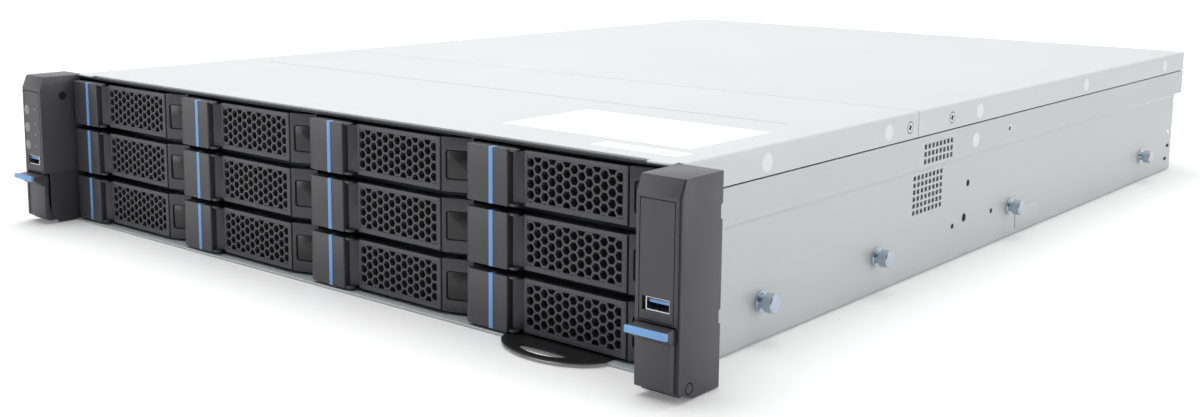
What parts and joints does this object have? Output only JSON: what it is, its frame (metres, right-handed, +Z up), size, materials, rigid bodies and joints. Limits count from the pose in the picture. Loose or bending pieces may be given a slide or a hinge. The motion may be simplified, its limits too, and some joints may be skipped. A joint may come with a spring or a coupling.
{
  "type": "rack server",
  "caption": "Two-unit rack server: steel chassis with split cover, hot-swap drive carriers with honeycomb levers, rack ears with latch flaps, rear power supplies and card slots.",
  "frame": {"origin": "in the chassis' middle plane, on its underside, in the plane of the rack posts' front faces, where the ears' rear faces rest", "axes": "+X to the server's right as seen from the front, +Y to its rear, +Z up"},
  "size_m": [0.4826, 0.6785, 0.0876],
  "materials": {
    "steel_sheet": "satin zinc-coated sheet",
    "cover_sheet": "satin zinc-coated sheet",
    "zinc": "bright zinc",
    "circuit_board": "solder mask",
    "fin_aluminium": "plain",
    "psu_metal": "satin",
    "ear_plastic": "fine satin",
    "carrier_plastic": "fine satin",
    "lever_plastic": "fine satin",
    "release_plastic": "gloss",
    "button_plastic": "satin",
    "black_plastic": "satin"
  },
  "bodies": {
    "chassis": {"base_pan": "steel_sheet", "rear_wall": "steel_sheet", "front_cover": "cover_sheet", "drive_cage": "steel_sheet", "backplane": "circuit_board", "ear_left": "ear_plastic", "ear_right": "ear_plastic", "fan_housings": "black_plastic", "system_board": "circuit_board", "heatsinks": "fin_aluminium", "memory_modules": "circuit_board", "rail_studs": "zinc"},
    "lid": {"rear_cover": "cover_sheet"},
    "carrier_01": {"carrier_01": "carrier_plastic"},
    "lever_01": {"lever_01": "lever_plastic"},
    "release_01": {"release_button_01": "release_plastic"},
    "carrier_02": {"carrier_02": "carrier_plastic"},
    "lever_02": {"lever_02": "lever_plastic"},
    "release_02": {"release_button_02": "release_plastic"},
    "carrier_03": {"carrier_03": "carrier_plastic"},
    "lever_03": {"lever_03": "lever_plastic"},
    "release_03": {"release_button_03": "release_plastic"},
    "carrier_04": {"carrier_04": "carrier_plastic"},
    "lever_04": {"lever_04": "lever_plastic"},
    "release_04": {"release_button_04": "release_plastic"},
    "carrier_05": {"carrier_05": "carrier_plastic"},
    "lever_05": {"lever_05": "lever_plastic"},
    "release_05": {"release_button_05": "release_plastic"},
    "carrier_06": {"carrier_06": "carrier_plastic"},
    "lever_06": {"lever_06": "lever_plastic"},
    "release_06": {"release_button_06": "release_plastic"},
    "carrier_07": {"carrier_07": "carrier_plastic"},
    "lever_07": {"lever_07": "lever_plastic"},
    "release_07": {"release_button_07": "release_plastic"},
    "carrier_08": {"carrier_08": "carrier_plastic"},
    "lever_08": {"lever_08": "lever_plastic"},
    "release_08": {"release_button_08": "release_plastic"},
    "carrier_09": {"carrier_09": "carrier_plastic"},
    "lever_09": {"lever_09": "lever_plastic"},
    "release_09": {"release_button_09": "release_plastic"},
    "carrier_10": {"carrier_10": "carrier_plastic"},
    "lever_10": {"lever_10": "lever_plastic"},
    "release_10": {"release_button_10": "release_plastic"},
    "carrier_11": {"carrier_11": "carrier_plastic"},
    "lever_11": {"lever_11": "lever_plastic"},
    "release_11": {"release_button_11": "release_plastic"},
    "carrier_12": {"carrier_12": "carrier_plastic"},
    "lever_12": {"lever_12": "lever_plastic"},
    "release_12": {"release_button_12": "release_plastic"},
    "latch_left": {"latch_left": "ear_plastic"},
    "latch_right": {"latch_right": "ear_plastic"},
    "power_button": {"power_button": "button_plastic"},
    "id_button": {"id_button": "button_plastic"},
    "reset_button": {"reset_button": "button_plastic"},
    "pull_tab": {"pull_tab": "black_plastic"},
    "rotor_1": {"fan_rotor_1": "black_plastic"},
    "rotor_2": {"fan_rotor_2": "black_plastic"},
    "rotor_3": {"fan_rotor_3": "black_plastic"},
    "psu_1": {"psu_1": "psu_metal"},
    "psu_2": {"psu_2": "psu_metal"}
  },
  "joints": [
    {"name": "lid_lift", "type": "slide", "parent": "chassis", "child": "lid", "axis": [0, 0, 1], "range_m": [0, 0.1]},
    {"name": "carrier_01_slide", "type": "slide", "parent": "chassis", "child": "carrier_01", "axis": [0, -1, 0], "range_m": [0, 0.19]},
    {"name": "lever_01_swing", "type": "hinge", "parent": "carrier_01", "child": "lever_01", "pos_m": [-0.1904, -0.0058, 0.0715], "axis": [0, 0, -1], "range_deg": [0, 70]},
    {"name": "release_01_press", "type": "slide", "parent": "carrier_01", "child": "release_01", "axis": [0, 1, 0], "range_m": [0, 0.002], "stiffness_N_per_m": 400, "springref_m": -0.0015},
    {"name": "carrier_02_slide", "type": "slide", "parent": "chassis", "child": "carrier_02", "axis": [0, -1, 0], "range_m": [0, 0.19]},
    {"name": "lever_02_swing", "type": "hinge", "parent": "carrier_02", "child": "lever_02", "pos_m": [-0.0814, -0.0058, 0.0715], "axis": [0, 0, -1], "range_deg": [0, 70]},
    {"name": "release_02_press", "type": "slide", "parent": "carrier_02", "child": "release_02", "axis": [0, 1, 0], "range_m": [0, 0.002], "stiffness_N_per_m": 400, "springref_m": -0.0015},
    {"name": "carrier_03_slide", "type": "slide", "parent": "chassis", "child": "carrier_03", "axis": [0, -1, 0], "range_m": [0, 0.19]},
    {"name": "lever_03_swing", "type": "hinge", "parent": "carrier_03", "child": "lever_03", "pos_m": [0.0276, -0.0058, 0.0715], "axis": [0, 0, -1], "range_deg": [0, 70]},
    {"name": "release_03_press", "type": "slide", "parent": "carrier_03", "child": "release_03", "axis": [0, 1, 0], "range_m": [0, 0.002], "stiffness_N_per_m": 400, "springref_m": -0.0015},
    {"name": "carrier_04_slide", "type": "slide", "parent": "chassis", "child": "carrier_04", "axis": [0, -1, 0], "range_m": [0, 0.19]},
    {"name": "lever_04_swing", "type": "hinge", "parent": "carrier_04", "child": "lever_04", "pos_m": [0.1366, -0.0058, 0.0715], "axis": [0, 0, -1], "range_deg": [0, 70]},
    {"name": "release_04_press", "type": "slide", "parent": "carrier_04", "child": "release_04", "axis": [0, 1, 0], "range_m": [0, 0.002], "stiffness_N_per_m": 400, "springref_m": -0.0015},
    {"name": "carrier_05_slide", "type": "slide", "parent": "chassis", "child": "carrier_05", "axis": [0, -1, 0], "range_m": [0, 0.19]},
    {"name": "lever_05_swing", "type": "hinge", "parent": "carrier_05", "child": "lever_05", "pos_m": [-0.1904, -0.0058, 0.0432], "axis": [0, 0, -1], "range_deg": [0, 70]},
    {"name": "release_05_press", "type": "slide", "parent": "carrier_05", "child": "release_05", "axis": [0, 1, 0], "range_m": [0, 0.002], "stiffness_N_per_m": 400, "springref_m": -0.0015},
    {"name": "carrier_06_slide", "type": "slide", "parent": "chassis", "child": "carrier_06", "axis": [0, -1, 0], "range_m": [0, 0.19]},
    {"name": "lever_06_swing", "type": "hinge", "parent": "carrier_06", "child": "lever_06", "pos_m": [-0.0814, -0.0058, 0.0432], "axis": [0, 0, -1], "range_deg": [0, 70]},
    {"name": "release_06_press", "type": "slide", "parent": "carrier_06", "child": "release_06", "axis": [0, 1, 0], "range_m": [0, 0.002], "stiffness_N_per_m": 400, "springref_m": -0.0015},
    {"name": "carrier_07_slide", "type": "slide", "parent": "chassis", "child": "carrier_07", "axis": [0, -1, 0], "range_m": [0, 0.19]},
    {"name": "lever_07_swing", "type": "hinge", "parent": "carrier_07", "child": "lever_07", "pos_m": [0.0276, -0.0058, 0.0432], "axis": [0, 0, -1], "range_deg": [0, 70]},
    {"name": "release_07_press", "type": "slide", "parent": "carrier_07", "child": "release_07", "axis": [0, 1, 0], "range_m": [0, 0.002], "stiffness_N_per_m": 400, "springref_m": -0.0015},
    {"name": "carrier_08_slide", "type": "slide", "parent": "chassis", "child": "carrier_08", "axis": [0, -1, 0], "range_m": [0, 0.19]},
    {"name": "lever_08_swing", "type": "hinge", "parent": "carrier_08", "child": "lever_08", "pos_m": [0.1366, -0.0058, 0.0432], "axis": [0, 0, -1], "range_deg": [0, 70]},
    {"name": "release_08_press", "type": "slide", "parent": "carrier_08", "child": "release_08", "axis": [0, 1, 0], "range_m": [0, 0.002], "stiffness_N_per_m": 400, "springref_m": -0.0015},
    {"name": "carrier_09_slide", "type": "slide", "parent": "chassis", "child": "carrier_09", "axis": [0, -1, 0], "range_m": [0, 0.19]},
    {"name": "lever_09_swing", "type": "hinge", "parent": "carrier_09", "child": "lever_09", "pos_m": [-0.1904, -0.0058, 0.0149], "axis": [0, 0, -1], "range_deg": [0, 70]},
    {"name": "release_09_press", "type": "slide", "parent": "carrier_09", "child": "release_09", "axis": [0, 1, 0], "range_m": [0, 0.002], "stiffness_N_per_m": 400, "springref_m": -0.0015},
    {"name": "carrier_10_slide", "type": "slide", "parent": "chassis", "child": "carrier_10", "axis": [0, -1, 0], "range_m": [0, 0.19]},
    {"name": "lever_10_swing", "type": "hinge", "parent": "carrier_10", "child": "lever_10", "pos_m": [-0.0814, -0.0058, 0.0149], "axis": [0, 0, -1], "range_deg": [0, 70]},
    {"name": "release_10_press", "type": "slide", "parent": "carrier_10", "child": "release_10", "axis": [0, 1, 0], "range_m": [0, 0.002], "stiffness_N_per_m": 400, "springref_m": -0.0015},
    {"name": "carrier_11_slide", "type": "slide", "parent": "chassis", "child": "carrier_11", "axis": [0, -1, 0], "range_m": [0, 0.19]},
    {"name": "lever_11_swing", "type": "hinge", "parent": "carrier_11", "child": "lever_11", "pos_m": [0.0276, -0.0058, 0.0149], "axis": [0, 0, -1], "range_deg": [0, 70]},
    {"name": "release_11_press", "type": "slide", "parent": "carrier_11", "child": "release_11", "axis": [0, 1, 0], "range_m": [0, 0.002], "stiffness_N_per_m": 400, "springref_m": -0.0015},
    {"name": "carrier_12_slide", "type": "slide", "parent": "chassis", "child": "carrier_12", "axis": [0, -1, 0], "range_m": [0, 0.19]},
    {"name": "lever_12_swing", "type": "hinge", "parent": "carrier_12", "child": "lever_12", "pos_m": [0.1366, -0.0058, 0.0149], "axis": [0, 0, -1], "range_deg": [0, 70]},
    {"name": "release_12_press", "type": "slide", "parent": "carrier_12", "child": "release_12", "axis": [0, 1, 0], "range_m": [0, 0.002], "stiffness_N_per_m": 400, "springref_m": -0.0015},
    {"name": "latch_left_flap", "type": "hinge", "parent": "chassis", "child": "latch_left", "pos_m": [-0.23075, -0.0204, 0.0046], "axis": [1, 0, 0], "range_deg": [0, 35], "stiffness_Nm_per_rad": 0.03, "springref_deg": -17.19},
    {"name": "latch_right_flap", "type": "hinge", "parent": "chassis", "child": "latch_right", "pos_m": [0.23075, -0.0204, 0.0046], "axis": [1, 0, 0], "range_deg": [0, 35], "stiffness_Nm_per_rad": 0.03, "springref_deg": -17.19},
    {"name": "power_button_press", "type": "slide", "parent": "chassis", "child": "power_button", "axis": [0, 1, 0], "range_m": [0, 0.001], "stiffness_N_per_m": 500, "springref_m": -0.001},
    {"name": "id_button_press", "type": "slide", "parent": "chassis", "child": "id_button", "axis": [0, 1, 0], "range_m": [0, 0.001], "stiffness_N_per_m": 500, "springref_m": -0.001},
    {"name": "reset_button_press", "type": "slide", "parent": "chassis", "child": "reset_button", "axis": [0, 1, 0], "range_m": [0, 0.001], "stiffness_N_per_m": 500, "springref_m": -0.001},
    {"name": "pull_tab_slide", "type": "slide", "parent": "chassis", "child": "pull_tab", "axis": [0, -1, 0], "range_m": [0, 0.05]},
    {"name": "fan_1_spin", "type": "hinge", "parent": "chassis", "child": "rotor_1", "pos_m": [-0.138, 0.187, 0.042], "axis": [0, 1, 0], "continuous": true},
    {"name": "fan_2_spin", "type": "hinge", "parent": "chassis", "child": "rotor_2", "pos_m": [0, 0.187, 0.042], "axis": [0, 1, 0], "continuous": true},
    {"name": "fan_3_spin", "type": "hinge", "parent": "chassis", "child": "rotor_3", "pos_m": [0.138, 0.187, 0.042], "axis": [0, 1, 0], "continuous": true},
    {"name": "psu_1_slide", "type": "slide", "parent": "chassis", "child": "psu_1", "axis": [0, 1, 0], "range_m": [0, 0.19]},
    {"name": "psu_2_slide", "type": "slide", "parent": "chassis", "child": "psu_2", "axis": [0, 1, 0], "range_m": [0, 0.19]}
  ]
}
